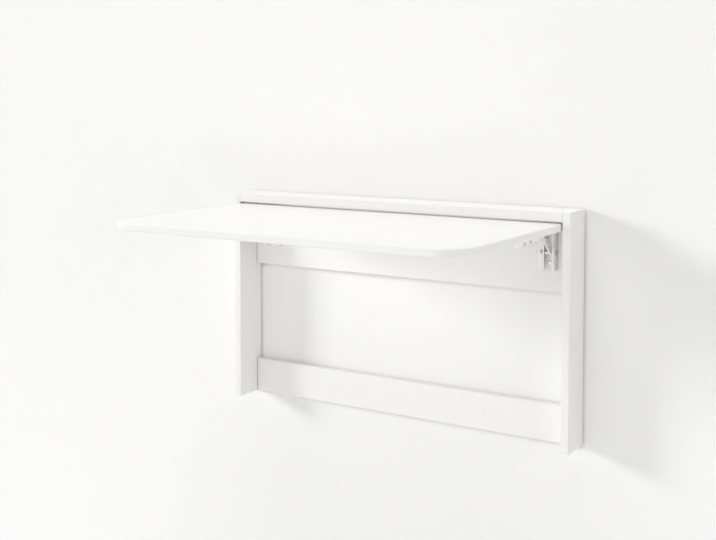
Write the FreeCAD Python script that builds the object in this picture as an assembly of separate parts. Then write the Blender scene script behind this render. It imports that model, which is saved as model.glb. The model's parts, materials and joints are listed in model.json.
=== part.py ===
import FreeCAD, Part
import os
from math import acos, asin, cos, degrees, hypot, pi, sin

V = FreeCAD.Vector

# Wall-mounted fold-down writing desk, in millimetres.
# X runs along the wall, Y into the wall (the wall is the plane y = 0), Z up.
# "Out" is the distance from the wall, so a point that stands out by d lies at y = -d.
# Heights are measured from the frame's bottom edge. Each finished piece is then lowered
# so that the origin lies in the wall plane at the centre of the four wall screws.

# Frame
FRAME_WIDTH = 800.0
FRAME_HEIGHT = 464.0
FRAME_DEPTH = 78.0
STILE_THICKNESS = 16.0
TOP_BOARD_THICKNESS = 19.0
RAIL_THICKNESS = 16.0
UPPER_RAIL_HEIGHT = 147.0
BOTTOM_RAIL_HEIGHT = 75.0
BOARD_EDGE_ROUND = 1.2

# Leaf, open: a level board whose rear edge tucks under the top board
LEAF_THICKNESS = 15.0
LEAF_SIDE_GAP = 2.2
LEAF_HEADROOM = 3.5
LEAF_CORNER_RADIUS = 60.0
LEAF_EDGE_ROUND = 3.0
PIVOT_SETBACK = 8.5
FOLDED_LEAF_RISE = 2.0

# Leaf pivots: a steel pin pressed into each stile turns in a bush in the leaf's end
PIVOT_PIN_RADIUS = 3.0
PIVOT_PIN_IN_STILE = 11.0
PIVOT_PIN_END_GAP = 0.4
PIVOT_BUSH_RADIUS = 5.0
PIVOT_BUSH_LENGTH = 16.0
RUNNING_CLEARANCE = 0.06
MOVING_GAP = 0.3

# Wall screws: two through each rail, countersunk under a recess for a cover cap
WALL_HOLE_SPACING = 406.4
WALL_HOLE_RADIUS = 2.75
WALL_HEAD_RADIUS = 5.5
CAP_RECESS_RADIUS = 7.0
CAP_RECESS_DEPTH = 1.6
UPPER_HOLE_DROP = 40.0
LOWER_HOLE_HEIGHT = 37.5

# Knock-down joints between the boards
DOWEL_RADIUS = 4.0
DOWEL_IN_STILE = 10.0
DOWEL_IN_RAIL = 18.0
DOWEL_IN_TOP_BOARD = 10.0
DOWEL_EDGE_INSET = 15.0
TOP_DOWEL_SPACING = 250.0
CAM_RADIUS = 7.5
CAM_DEPTH = 12.0
CAM_SETBACK = 24.0
BOLT_AXIS_DEPTH = 8.0
CAM_DRIVE_WIDTH = 1.6
CAM_DRIVE_DEPTH = 2.0
CAM_DRIVE_REACH = 4.5
BOLT_SHANK_RADIUS = 2.5
BOLT_HEAD_RADIUS = 3.6
BOLT_HEAD_LENGTH = 3.0
BOLT_THREAD_RADIUS = 3.0
BOLT_THREAD_LENGTH = 10.0
BOLT_ROOM = 0.5
TOP_CAM_OUT = 22.0
TOP_END_DOWEL_OUT = 52.0

# Bracket leg: a lipped channel of folded steel, screwed to the upper rail
BRACKET_INSET = 33.5
LEG_WIDTH = 36.0
LEG_DEPTH = 16.0
LEG_HEIGHT = 82.0
LEG_TOP_DROP = 21.0
STEEL = 2.0
BEND_RADIUS = 2.8
WIDE_LIP = 14.3
NARROW_LIP = 6.1
LIP_SLOT_INSET = 9.3
LIP_SLOT_RADIUS = 2.0
LIP_SLOT_DROP = 45.0
LIP_SLOT_LENGTH = 8.5
LEG_CORNER_RADIUS = 3.0
LEG_SCREW_TOP_INSET = 12.0
LEG_SCREW_BOTTOM_INSET = 14.0

# Bracket arm: an inverted channel under the leaf
ARM_WIDTH = 32.0
ARM_DEPTH = 18.0
ARM_LENGTH = 175.0
ARM_REAR_SETBACK = 1.0
ARM_REAR_RADIUS = 5.0
ARM_NOSE_LENGTH = 20.0
ARM_NOSE_HEIGHT = 6.0
ARM_WEB_START = 24.0
ARM_SCREW_SPACING = 110.0
ARM_SCREW_REAR_INSET = 10.0
ARM_HOLE_RADIUS = 1.8
ARM_HOLE_FROM_REAR = 33.5
ARM_HOLE_DROP = 14.0

# Strut: a flat bar from the leg's foot pin to the slide pin in the arm's guide windows
FOOT_OUT = 25.0
FOOT_RISE = 35.0
STRUT_THICKNESS = 3.0
STRUT_SIDE_INSET = 7.5
STRUT_FOOT_RADIUS = 6.0
STRUT_HEAD_RADIUS = 5.2
FOOT_PIN_RADIUS = 3.0
SLIDE_PIN_RADIUS = 2.5
GUIDE_CREST_DROP = 15.5
GUIDE_SEAT_DROP = 19.5
PIN_HEAD_RADIUS = 4.8
PIN_HEAD_THICKNESS = 1.5
PIN_CORNER = 0.4
FOOT_SPACER_RADIUS = 4.4
SLIDE_SPACER_RADIUS = 3.8

# Lock lever inside the arm, its pivot, its spring and the arm's tie rivet
LEVER_THICKNESS = 2.0
LEVER_FLANGE_GAP = 2.6
LEVER_PIVOT_RADIUS = 2.5
LEVER_PIVOT_FROM_NOSE = 90.0
LEVER_PIVOT_DROP = 13.5
LEVER_COLLAR_RADIUS = 4.0
LEVER_COLLAR_THICKNESS = 1.8
LEVER_BOSS_RADIUS = 4.6
LEVER_CRANK_TOP = 6.9
LEVER_CRANK_LOW = 8.3
LEVER_BAR_HEIGHT = 4.4
LEVER_NOSE_LENGTH = 7.0
LEVER_NOSE_FLAT = 2.8
LEVER_NOSE_HEIGHT = 12.0
LEVER_NOSE_GAP = 0.6
LEVER_TIE_GAP = 0.9
LEVER_REACH = 43.0
LEVER_TAB_LENGTH = 7.0
LEVER_TAB_HEIGHT = 12.5
LEVER_CORNER_RADIUS = 1.2
TIE_RIVET_RADIUS = 2.0
TIE_SHOULDER_RADIUS = 2.6
TIE_RIVET_FROM_NOSE = 62.0
TIE_RIVET_DROP = 15.0
RIVET_HEAD_RADIUS = 3.6
RIVET_HEAD_THICKNESS = 1.4
RIVET_HEAD_SLOPE = 1.0
SPRING_WIDTH = 3.6
SPRING_THICKNESS = 0.5
SPRING_SPAN = 18.0
SPRING_FOOT = 3.0
SPRING_FORWARD = 13.0

# Wood screws, pan headed
SCREW_SHANK_RADIUS = 2.0
SCREW_HEAD_RADIUS = 3.9
SCREW_HEAD_HEIGHT = 2.4
SCREW_HEAD_SLOPE = 1.2
SCREW_TIP_LENGTH = 3.0
SCREW_CLEARANCE = 0.35
SCREW_GRIP = 13.0

# Places that follow from the sizes above
STILE_INNER_X = FRAME_WIDTH / 2 - STILE_THICKNESS
RAIL_TOP = FRAME_HEIGHT - TOP_BOARD_THICKNESS
LEAF_TOP = RAIL_TOP - LEAF_HEADROOM
LEAF_UNDERSIDE = LEAF_TOP - LEAF_THICKNESS
LEAF_HALF_WIDTH = STILE_INNER_X - LEAF_SIDE_GAP
PIVOT_OUT = FRAME_DEPTH - LEAF_THICKNESS / 2
PIVOT_HEIGHT = LEAF_TOP - LEAF_THICKNESS / 2
LEAF_REAR_OUT = PIVOT_OUT - PIVOT_SETBACK
LEAF_DEPTH = PIVOT_HEIGHT + PIVOT_SETBACK - FOLDED_LEAF_RISE
UPPER_HOLE_HEIGHT = RAIL_TOP - UPPER_HOLE_DROP
ORIGIN_HEIGHT = (UPPER_HOLE_HEIGHT + LOWER_HOLE_HEIGHT) / 2

LEG_RIGHT_X = STILE_INNER_X - BRACKET_INSET
LEG_LEFT_X = LEG_RIGHT_X - LEG_WIDTH
LEG_MID_X = (LEG_LEFT_X + LEG_RIGHT_X) / 2
LEG_BACK_OUT = RAIL_THICKNESS
LEG_FRONT_OUT = LEG_BACK_OUT + LEG_DEPTH
LEG_TOP = RAIL_TOP - LEG_TOP_DROP
LEG_BOTTOM = LEG_TOP - LEG_HEIGHT
LEG_OPENING_X = (LEG_LEFT_X + WIDE_LIP + LEG_RIGHT_X - NARROW_LIP) / 2
FOOT_HEIGHT = LEG_BOTTOM + FOOT_RISE

ARM_LEFT_X = LEG_MID_X - ARM_WIDTH / 2
ARM_RIGHT_X = LEG_MID_X + ARM_WIDTH / 2
ARM_REAR_OUT = LEAF_REAR_OUT - ARM_REAR_SETBACK
ARM_FRONT_OUT = ARM_REAR_OUT + ARM_LENGTH
ARM_BOTTOM = LEAF_UNDERSIDE - ARM_DEPTH

STRUT_RIGHT_X = LEG_RIGHT_X - STRUT_SIDE_INSET
STRUT_LEFT_X = STRUT_RIGHT_X - STRUT_THICKNESS

# Strut geometry. The foot pin is fixed, so the slide pin's place in the arm changes as
# the leaf turns. Its three seats are found at the leaf open, half folded and folded.
REACH = hypot(PIVOT_OUT - FOOT_OUT, PIVOT_HEIGHT - FOOT_HEIGHT)
STRUT_LENGTH = REACH - GUIDE_CREST_DROP
STRUT_OPEN_ANGLE = asin((PIVOT_HEIGHT - GUIDE_SEAT_DROP - FOOT_HEIGHT) / STRUT_LENGTH)
STRUT_FOLDED_ANGLE = acos((PIVOT_OUT - GUIDE_SEAT_DROP - FOOT_OUT) / STRUT_LENGTH)
SLIDE_OUT = FOOT_OUT + STRUT_LENGTH * cos(STRUT_OPEN_ANGLE)
SLIDE_HEIGHT = FOOT_HEIGHT + STRUT_LENGTH * sin(STRUT_OPEN_ANGLE)

LEVER_LEFT_X = ARM_LEFT_X + STEEL + LEVER_FLANGE_GAP
LEVER_RIGHT_X = LEVER_LEFT_X + LEVER_THICKNESS
LEVER_PIVOT_OUT = ARM_FRONT_OUT - LEVER_PIVOT_FROM_NOSE
LEVER_PIVOT_HEIGHT = LEAF_UNDERSIDE - LEVER_PIVOT_DROP
TIE_RIVET_OUT = ARM_FRONT_OUT - TIE_RIVET_FROM_NOSE
TIE_RIVET_HEIGHT = LEAF_UNDERSIDE - TIE_RIVET_DROP
LEVER_FRONT_BAR_LOW = TIE_RIVET_HEIGHT + TIE_SHOULDER_RADIUS + LEVER_TIE_GAP
LEVER_FRONT_BAR_TOP = LEVER_FRONT_BAR_LOW + LEVER_BAR_HEIGHT
WEB_UNDERSIDE = LEAF_UNDERSIDE - STEEL


def slide_pin_seat(fold):
    """Place of the slide pin, as (out, height), carried back to the open leaf from a fold angle."""
    share = fold / (pi / 2)
    angle = STRUT_OPEN_ANGLE + share * (STRUT_FOLDED_ANGLE - STRUT_OPEN_ANGLE)
    forward = FOOT_OUT + STRUT_LENGTH * cos(angle) - PIVOT_OUT
    rise = FOOT_HEIGHT + STRUT_LENGTH * sin(angle) - PIVOT_HEIGHT
    out = PIVOT_OUT + forward * cos(fold) - rise * sin(fold)
    height = PIVOT_HEIGHT + forward * sin(fold) + rise * cos(fold)
    return out, height


def box(x0, x1, out0, out1, z0, z1):
    """Box between two x values, two distances out from the wall and two heights."""
    return Part.makeBox(x1 - x0, out1 - out0, z1 - z0, V(x0, -out1, z0))


def edges_along(shape, axis):
    """Straight edges that run along one axis, given as a unit vector."""
    found = []
    for edge in shape.Edges:
        span = edge.Vertexes[-1].Point.sub(edge.Vertexes[0].Point)
        if span.Length > 0 and abs(abs(span.dot(axis)) - span.Length) < 1e-6:
            found.append(edge)
    return found


def rounded_box(x0, x1, out0, out1, z0, z1, radius, axis):
    """Box whose four edges along one axis are rounded."""
    body = box(x0, x1, out0, out1, z0, z1)
    return body.makeFillet(radius, edges_along(body, axis))


def rod_x(x0, x1, out, height, radius):
    """Round rod along X."""
    return Part.makeCylinder(radius, x1 - x0, V(x0, -out, height), V(1, 0, 0))


def rod_in(x, height, out0, out1, radius):
    """Round rod square to the wall, between two distances out."""
    return Part.makeCylinder(radius, out1 - out0, V(x, -out1, height), V(0, 1, 0))


def rod_up(x, out, z0, z1, radius):
    """Upright round rod."""
    return Part.makeCylinder(radius, z1 - z0, V(x, -out, z0))


def upright_slot(x, z0, z1, out0, out1, radius):
    """Round-ended upright slot, between the centres of its two ends."""
    middle = box(x - radius, x + radius, out0, out1, z0, z1)
    ends = [rod_in(x, z0, out0, out1, radius), rod_in(x, z1, out0, out1, radius)]
    return middle.fuse(ends).removeSplitter()


def plate_x(points, x0, x1, radius):
    """Flat plate square to X from an outline of (out, height) points, its corners rounded."""
    corners = [V(x0, -out, height) for out, height in points]
    face = Part.Face(Part.makePolygon(corners + corners[:1]))
    plate = face.extrude(V(x1 - x0, 0, 0))
    if radius > 0:
        plate = plate.makeFillet(radius, edges_along(plate, V(1, 0, 0)))
    return plate


def hull_of_circles(centres, radii, x0, x1):
    """Plate square to X: the outline drawn tightly round circles, listed anticlockwise in (y, z)."""
    arcs = []
    count = len(centres)
    for i in range(count):
        cy, cz = -centres[i][0], centres[i][1]
        ny, nz = -centres[(i + 1) % count][0], centres[(i + 1) % count][1]
        py, pz = -centres[i - 1][0], centres[i - 1][1]
        leave = tangent_normal(cy, cz, radii[i], ny, nz, radii[(i + 1) % count])
        arrive = tangent_normal(py, pz, radii[i - 1], cy, cz, radii[i])
        while leave < arrive:
            leave += 2 * pi
        arcs.append((cy, cz, radii[i], arrive, leave))
    edges = []
    for i, (cy, cz, r, arrive, leave) in enumerate(arcs):
        start = V(x0, cy + r * cos(arrive), cz + r * sin(arrive))
        middle_angle = (arrive + leave) / 2
        middle = V(x0, cy + r * cos(middle_angle), cz + r * sin(middle_angle))
        end = V(x0, cy + r * cos(leave), cz + r * sin(leave))
        edges.append(Part.Arc(start, middle, end).toShape())
        oy, oz, other, other_arrive, _ = arcs[(i + 1) % count]
        reached = V(x0, oy + other * cos(other_arrive), oz + other * sin(other_arrive))
        edges.append(Part.LineSegment(end, reached).toShape())
    return Part.Face(Part.Wire(edges)).extrude(V(x1 - x0, 0, 0))


def tangent_normal(ay, az, a_radius, by, bz, b_radius):
    """Angle of the outward normal of the line that runs along the right of two circles."""
    dy, dz = by - ay, bz - az
    heading = V(dy, dz, 0)
    along = asin((a_radius - b_radius) / heading.Length)
    base = V(1, 0, 0).getAngle(heading)
    if dz < 0:
        base = -base
    return base - pi / 2 + along


def cut_all(body, tools):
    """Body with every tool cut away."""
    for tool in tools:
        body = body.cut(tool)
    return body


def both_sides(right_piece):
    """The right-hand piece and its mirror image on the left."""
    left_piece = right_piece.mirror(V(0, 0, 0), V(1, 0, 0))
    return {"right": right_piece, "left": left_piece}


def both_in_one(right_pieces):
    """One group of separate solids: the pieces of the right side and of the left."""
    pieces = []
    for piece in right_pieces:
        pieces += both_sides(piece).values()
    return Part.makeCompound(pieces)


# ---------------------------------------------------------------- knock-down joints

def rail_dowel_heights(bottom, top):
    """Heights of the two end dowels of a rail."""
    return [bottom + DOWEL_EDGE_INSET, top - DOWEL_EDGE_INSET]


def end_joint_places():
    """Right-hand end dowels and cam fittings, as (out, height) pairs."""
    rail_mid = RAIL_THICKNESS / 2
    upper_bottom = RAIL_TOP - UPPER_RAIL_HEIGHT
    dowels = [(rail_mid, z) for z in rail_dowel_heights(upper_bottom, RAIL_TOP)]
    dowels += [(rail_mid, z) for z in rail_dowel_heights(0, BOTTOM_RAIL_HEIGHT)]
    dowels.append((TOP_END_DOWEL_OUT, RAIL_TOP + TOP_BOARD_THICKNESS / 2))
    bolts = [
        (BOLT_AXIS_DEPTH, (upper_bottom + RAIL_TOP) / 2),
        (BOLT_AXIS_DEPTH, BOTTOM_RAIL_HEIGHT / 2),
        (TOP_CAM_OUT, RAIL_TOP + BOLT_AXIS_DEPTH),
    ]
    return dowels, bolts


END_DOWELS, END_BOLTS = end_joint_places()
CAM_X = STILE_INNER_X - CAM_SETBACK


def end_dowel(out, height):
    """Beech dowel between a stile and a rail end."""
    x0 = STILE_INNER_X - DOWEL_IN_RAIL
    x1 = STILE_INNER_X + DOWEL_IN_STILE
    return rod_x(x0, x1, out, height, DOWEL_RADIUS)


def chamfered(rod, size):
    """Rod with both end rims chamfered."""
    rims = [edge for edge in rod.Edges if edge.Closed]
    return rod.makeChamfer(size, rims)


def top_dowel(x):
    """Upright dowel between the upper rail and the top board."""
    z0 = RAIL_TOP - DOWEL_IN_RAIL
    z1 = RAIL_TOP + DOWEL_IN_TOP_BOARD
    return rod_up(x, RAIL_THICKNESS / 2, z0, z1, DOWEL_RADIUS)


def cam_bolt(out, height):
    """Bolt screwed into the stile, with a head that the cam draws on."""
    head_end = CAM_X - BOLT_HEAD_LENGTH / 2
    neck = CAM_X + BOLT_HEAD_LENGTH / 2
    thread_end = STILE_INNER_X + BOLT_THREAD_LENGTH
    head = rod_x(head_end, neck, out, height, BOLT_HEAD_RADIUS)
    shank = rod_x(neck, STILE_INNER_X, out, height, BOLT_SHANK_RADIUS)
    thread = rod_x(STILE_INNER_X, thread_end, out, height, BOLT_THREAD_RADIUS)
    return head.fuse([shank, thread]).removeSplitter()


def cam_blank(out, height, radius, up):
    """Disc of a cam fitting: let into the back of a rail, or up into the top board."""
    if up:
        return rod_up(CAM_X, out, RAIL_TOP, RAIL_TOP + CAM_DEPTH, radius)
    return rod_in(CAM_X, height, 0, CAM_DEPTH, radius)


def cam_lock(out, height, up):
    """Cam with a hollow for the bolt head, an entry for its shank and a cross drive."""
    cam = cam_blank(out, height, CAM_RADIUS, up)
    hollow = rod_x(CAM_X - BOLT_HEAD_LENGTH, CAM_X + BOLT_HEAD_LENGTH, out, height,
                   BOLT_HEAD_RADIUS + BOLT_ROOM)
    entry = rod_x(CAM_X, STILE_INNER_X, out, height, BOLT_SHANK_RADIUS + BOLT_ROOM)
    half = CAM_DRIVE_WIDTH / 2
    reach = CAM_DRIVE_REACH
    if up:
        low, high = RAIL_TOP, RAIL_TOP + CAM_DRIVE_DEPTH
        drive = [
            box(CAM_X - reach, CAM_X + reach, out - half, out + half, low, high),
            box(CAM_X - half, CAM_X + half, out - reach, out + reach, low, high),
        ]
    else:
        drive = [
            box(CAM_X - reach, CAM_X + reach, 0, CAM_DRIVE_DEPTH, height - half, height + half),
            box(CAM_X - half, CAM_X + half, 0, CAM_DRIVE_DEPTH, height - reach, height + reach),
        ]
    return cut_all(cam, [hollow, entry] + drive)


def rail_end_cuts(bottom, top):
    """Dowel holes, bolt bores and cam pockets in both ends of a rail or of the top board."""
    cuts = []
    for out, height in END_DOWELS:
        if bottom < height < top:
            cuts.append(rod_x(STILE_INNER_X - DOWEL_IN_RAIL, STILE_INNER_X, out, height, DOWEL_RADIUS))
    for out, height in END_BOLTS:
        if bottom < height < top:
            up = height > RAIL_TOP
            cuts.append(rod_x(CAM_X, STILE_INNER_X, out, height, BOLT_SHANK_RADIUS + BOLT_ROOM))
            cuts.append(cam_blank(out, height, CAM_RADIUS, up))
    both = []
    for cut in cuts:
        both += both_sides(cut).values()
    return both


# ---------------------------------------------------------------- frame boards

def board(x0, x1, out0, out1, z0, z1):
    """Lacquered board with the rims of its front and back faces eased."""
    body = box(x0, x1, out0, out1, z0, z1)
    rims = [edge for edge in body.Edges if edge.BoundBox.YLength < 1e-6]
    return body.makeFillet(BOARD_EDGE_ROUND, rims)


def right_stile():
    """Upright side board, bored on its inner face for dowels, bolts and the leaf's pivot pin."""
    body = board(STILE_INNER_X, FRAME_WIDTH / 2, 0, FRAME_DEPTH, 0, FRAME_HEIGHT)
    cuts = []
    for out, height in END_DOWELS:
        cuts.append(rod_x(STILE_INNER_X, STILE_INNER_X + DOWEL_IN_STILE, out, height, DOWEL_RADIUS))
    for out, height in END_BOLTS:
        cuts.append(rod_x(STILE_INNER_X, STILE_INNER_X + BOLT_THREAD_LENGTH, out, height,
                          BOLT_THREAD_RADIUS))
    cuts.append(rod_x(STILE_INNER_X, STILE_INNER_X + PIVOT_PIN_IN_STILE, PIVOT_OUT, PIVOT_HEIGHT,
                      PIVOT_PIN_RADIUS))
    return cut_all(body, cuts)


def top_board():
    """Shelf board across the top of the frame."""
    body = board(-STILE_INNER_X, STILE_INNER_X, 0, FRAME_DEPTH, RAIL_TOP, FRAME_HEIGHT)
    cuts = rail_end_cuts(RAIL_TOP, FRAME_HEIGHT)
    for x in (-TOP_DOWEL_SPACING, 0, TOP_DOWEL_SPACING):
        cuts.append(rod_up(x, RAIL_THICKNESS / 2, RAIL_TOP, RAIL_TOP + DOWEL_IN_TOP_BOARD, DOWEL_RADIUS))
    return cut_all(body, cuts)


def wall_screw_cuts(height):
    """Through hole, countersink and cap recess at both wall screws of a rail."""
    cuts = []
    for x in (-WALL_HOLE_SPACING / 2, WALL_HOLE_SPACING / 2):
        seat_out = RAIL_THICKNESS - CAP_RECESS_DEPTH
        sink = WALL_HEAD_RADIUS - WALL_HOLE_RADIUS
        cuts.append(rod_in(x, height, 0, RAIL_THICKNESS, WALL_HOLE_RADIUS))
        cuts.append(rod_in(x, height, seat_out, RAIL_THICKNESS, CAP_RECESS_RADIUS))
        cuts.append(Part.makeCone(WALL_HEAD_RADIUS, WALL_HOLE_RADIUS, sink,
                                  V(x, -seat_out, height), V(0, 1, 0)))
    return cuts


def leg_screw_heights():
    """Heights of the two wood screws that hold a bracket leg."""
    return [LEG_BOTTOM + LEG_SCREW_BOTTOM_INSET, LEG_TOP - LEG_SCREW_TOP_INSET]


def upper_rail():
    """Deep rail that carries the brackets."""
    bottom = RAIL_TOP - UPPER_RAIL_HEIGHT
    body = board(-STILE_INNER_X, STILE_INNER_X, 0, RAIL_THICKNESS, bottom, RAIL_TOP)
    cuts = rail_end_cuts(bottom, RAIL_TOP) + wall_screw_cuts(UPPER_HOLE_HEIGHT)
    for x in (-TOP_DOWEL_SPACING, 0, TOP_DOWEL_SPACING):
        cuts.append(rod_up(x, RAIL_THICKNESS / 2, RAIL_TOP - DOWEL_IN_RAIL, RAIL_TOP, DOWEL_RADIUS))
    for height in leg_screw_heights():
        pilot = pilot_in(LEG_OPENING_X, height, LEG_BACK_OUT + STEEL)
        cuts += both_sides(pilot).values()
    return cut_all(body, cuts)


def bottom_rail():
    """Narrow rail at the foot of the frame."""
    body = board(-STILE_INNER_X, STILE_INNER_X, 0, RAIL_THICKNESS, 0, BOTTOM_RAIL_HEIGHT)
    cuts = rail_end_cuts(0, BOTTOM_RAIL_HEIGHT) + wall_screw_cuts(LOWER_HOLE_HEIGHT)
    return cut_all(body, cuts)


# ---------------------------------------------------------------- wood screws

def wood_screw_in(x, height, head_out):
    """Pan-headed wood screw with a pointed tip, driven towards the wall."""
    shank_end = head_out - SCREW_GRIP
    head = rod_in(x, height, head_out, head_out + SCREW_HEAD_HEIGHT, SCREW_HEAD_RADIUS)
    rim = [edge for edge in head.Edges if edge.Closed and edge.BoundBox.YMax < -head_out - 1e-6]
    head = head.makeChamfer(SCREW_HEAD_SLOPE, rim)
    shank = rod_in(x, height, shank_end, head_out, SCREW_SHANK_RADIUS)
    tip = Part.makeCone(SCREW_SHANK_RADIUS, 0, SCREW_TIP_LENGTH, V(x, -shank_end, height), V(0, 1, 0))
    return head.fuse([shank, tip]).removeSplitter()


def pilot_in(x, height, head_out):
    """Drilled hole for the shank and tip of a wood screw driven towards the wall."""
    return rod_in(x, height, head_out - SCREW_GRIP - SCREW_TIP_LENGTH, head_out, SCREW_SHANK_RADIUS)


def turned_up(shape, x, out, height):
    """A screw modelled with its head face at a place, turned to point up there."""
    turned = shape.copy()
    turned.rotate(V(x, -out, height), V(1, 0, 0), 90)
    return turned


# ---------------------------------------------------------------- leaf and its pivots

def arm_screw_places():
    """Distances out of the two screws that hold a bracket arm."""
    first = ARM_REAR_OUT + ARM_WEB_START + ARM_SCREW_REAR_INSET
    return [first, first + ARM_SCREW_SPACING]


def arm_screw_x():
    """The arm's screws stand beside the lever, in the middle of the free width."""
    return (LEVER_RIGHT_X + ARM_RIGHT_X - STEEL) / 2


def leaf():
    """Writing leaf with round front corners and softened edges."""
    front_out = LEAF_REAR_OUT + LEAF_DEPTH
    body = box(-LEAF_HALF_WIDTH, LEAF_HALF_WIDTH, LEAF_REAR_OUT, front_out, LEAF_UNDERSIDE, LEAF_TOP)
    corners = [edge for edge in edges_along(body, V(0, 0, 1)) if edge.BoundBox.YMax < -front_out + 1e-6]
    body = body.makeFillet(LEAF_CORNER_RADIUS, corners)
    rims = []
    for edge in body.Edges:
        level = edge.BoundBox.ZLength < 1e-6
        if level:
            rims.append(edge)
    body = body.makeFillet(LEAF_EDGE_ROUND, rims)
    bush_start = LEAF_HALF_WIDTH - PIVOT_BUSH_LENGTH
    bush_bore = rod_x(bush_start, LEAF_HALF_WIDTH, PIVOT_OUT, PIVOT_HEIGHT, PIVOT_BUSH_RADIUS)
    cuts = list(both_sides(bush_bore).values())
    for out in arm_screw_places():
        pilot = pilot_in(arm_screw_x(), WEB_UNDERSIDE, out)
        cuts += both_sides(turned_up(pilot, arm_screw_x(), out, WEB_UNDERSIDE)).values()
    return cut_all(body, cuts)


def pivot_pin():
    """Steel pin pressed into the stile, standing into the leaf's bush."""
    x0 = LEAF_HALF_WIDTH - PIVOT_BUSH_LENGTH + PIVOT_PIN_END_GAP
    x1 = STILE_INNER_X + PIVOT_PIN_IN_STILE
    return chamfered(rod_x(x0, x1, PIVOT_OUT, PIVOT_HEIGHT, PIVOT_PIN_RADIUS), PIN_CORNER)


def pivot_bush():
    """Sleeve let into the leaf's end."""
    x0 = LEAF_HALF_WIDTH - PIVOT_BUSH_LENGTH
    sleeve = rod_x(x0, LEAF_HALF_WIDTH, PIVOT_OUT, PIVOT_HEIGHT, PIVOT_BUSH_RADIUS)
    bore = rod_x(x0, LEAF_HALF_WIDTH, PIVOT_OUT, PIVOT_HEIGHT, PIVOT_PIN_RADIUS + RUNNING_CLEARANCE)
    return sleeve.cut(bore)


# ---------------------------------------------------------------- bracket, right hand

def bracket_leg():
    """Lipped channel: web on the rail, two flanges for the foot pin, a narrow and a slotted lip."""
    up = V(0, 0, 1)
    shell = rounded_box(LEG_LEFT_X, LEG_RIGHT_X, LEG_BACK_OUT, LEG_FRONT_OUT, LEG_BOTTOM, LEG_TOP,
                        BEND_RADIUS, up)
    hollow = rounded_box(LEG_LEFT_X + STEEL, LEG_RIGHT_X - STEEL, LEG_BACK_OUT + STEEL,
                         LEG_FRONT_OUT - STEEL, LEG_BOTTOM, LEG_TOP, BEND_RADIUS - STEEL, up)
    mouth = box(LEG_LEFT_X + WIDE_LIP, LEG_RIGHT_X - NARROW_LIP, LEG_FRONT_OUT - STEEL, LEG_FRONT_OUT,
                LEG_BOTTOM, LEG_TOP)
    channel = cut_all(shell, [hollow, mouth])
    silhouette = rounded_box(LEG_LEFT_X, LEG_RIGHT_X, LEG_BACK_OUT, LEG_FRONT_OUT, LEG_BOTTOM, LEG_TOP,
                             LEG_CORNER_RADIUS, V(0, 1, 0))
    channel = channel.common(silhouette)
    slot_mid = LEG_TOP - LIP_SLOT_DROP
    slot_half = LIP_SLOT_LENGTH / 2 - LIP_SLOT_RADIUS
    cuts = [
        rod_x(LEG_LEFT_X, LEG_RIGHT_X, FOOT_OUT, FOOT_HEIGHT, FOOT_PIN_RADIUS),
        upright_slot(LEG_LEFT_X + LIP_SLOT_INSET, slot_mid - slot_half, slot_mid + slot_half,
                     LEG_FRONT_OUT - STEEL, LEG_FRONT_OUT, LIP_SLOT_RADIUS),
    ]
    for height in leg_screw_heights():
        cuts.append(rod_in(LEG_OPENING_X, height, LEG_BACK_OUT, LEG_BACK_OUT + STEEL,
                           SCREW_SHANK_RADIUS + SCREW_CLEARANCE))
    return cut_all(channel, cuts)


def cross_pin(x0, x1, out, height, radius):
    """Pin across two flanges, with a flat round head outside each of them."""
    shank = rod_x(x0, x1, out, height, radius)
    near = chamfered(rod_x(x0 - PIN_HEAD_THICKNESS, x0, out, height, PIN_HEAD_RADIUS), PIN_CORNER)
    far = chamfered(rod_x(x1, x1 + PIN_HEAD_THICKNESS, out, height, PIN_HEAD_RADIUS), PIN_CORNER)
    return shank.fuse([near, far]).removeSplitter()


def spacer_pair(x0, x1, out, height, outer, bore, gap):
    """Two sleeves on a cross pin that keep the strut in its place between the flanges."""
    sleeves = []
    for start, end in ((x0, STRUT_LEFT_X - gap), (STRUT_RIGHT_X + gap, x1)):
        sleeve = rod_x(start, end, out, height, outer)
        sleeves.append(sleeve.cut(rod_x(start, end, out, height, bore)))
    return Part.makeCompound(sleeves)


def foot_pin():
    """Pin fixed in the leg's flanges, on which the strut turns."""
    return cross_pin(LEG_LEFT_X, LEG_RIGHT_X, FOOT_OUT, FOOT_HEIGHT, FOOT_PIN_RADIUS)


def foot_spacers():
    """Sleeves on the foot pin."""
    return spacer_pair(LEG_LEFT_X + STEEL, LEG_RIGHT_X - STEEL, FOOT_OUT, FOOT_HEIGHT,
                       FOOT_SPACER_RADIUS, FOOT_PIN_RADIUS, MOVING_GAP)


def strut():
    """Flat bar that tapers from the foot pin to the slide pin."""
    centres = [(SLIDE_OUT, SLIDE_HEIGHT), (FOOT_OUT, FOOT_HEIGHT)]
    radii = [STRUT_HEAD_RADIUS, STRUT_FOOT_RADIUS]
    bar = hull_of_circles(centres, radii, STRUT_LEFT_X, STRUT_RIGHT_X)
    foot_bore = rod_x(STRUT_LEFT_X, STRUT_RIGHT_X, FOOT_OUT, FOOT_HEIGHT,
                      FOOT_PIN_RADIUS + RUNNING_CLEARANCE)
    head_bore = rod_x(STRUT_LEFT_X, STRUT_RIGHT_X, SLIDE_OUT, SLIDE_HEIGHT, SLIDE_PIN_RADIUS)
    return cut_all(bar, [foot_bore, head_bore])


def slide_pin():
    """Pin in the strut's upper eye, which runs in the arm's guide windows."""
    return cross_pin(ARM_LEFT_X - MOVING_GAP, ARM_RIGHT_X + MOVING_GAP, SLIDE_OUT, SLIDE_HEIGHT,
                     SLIDE_PIN_RADIUS)


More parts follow.
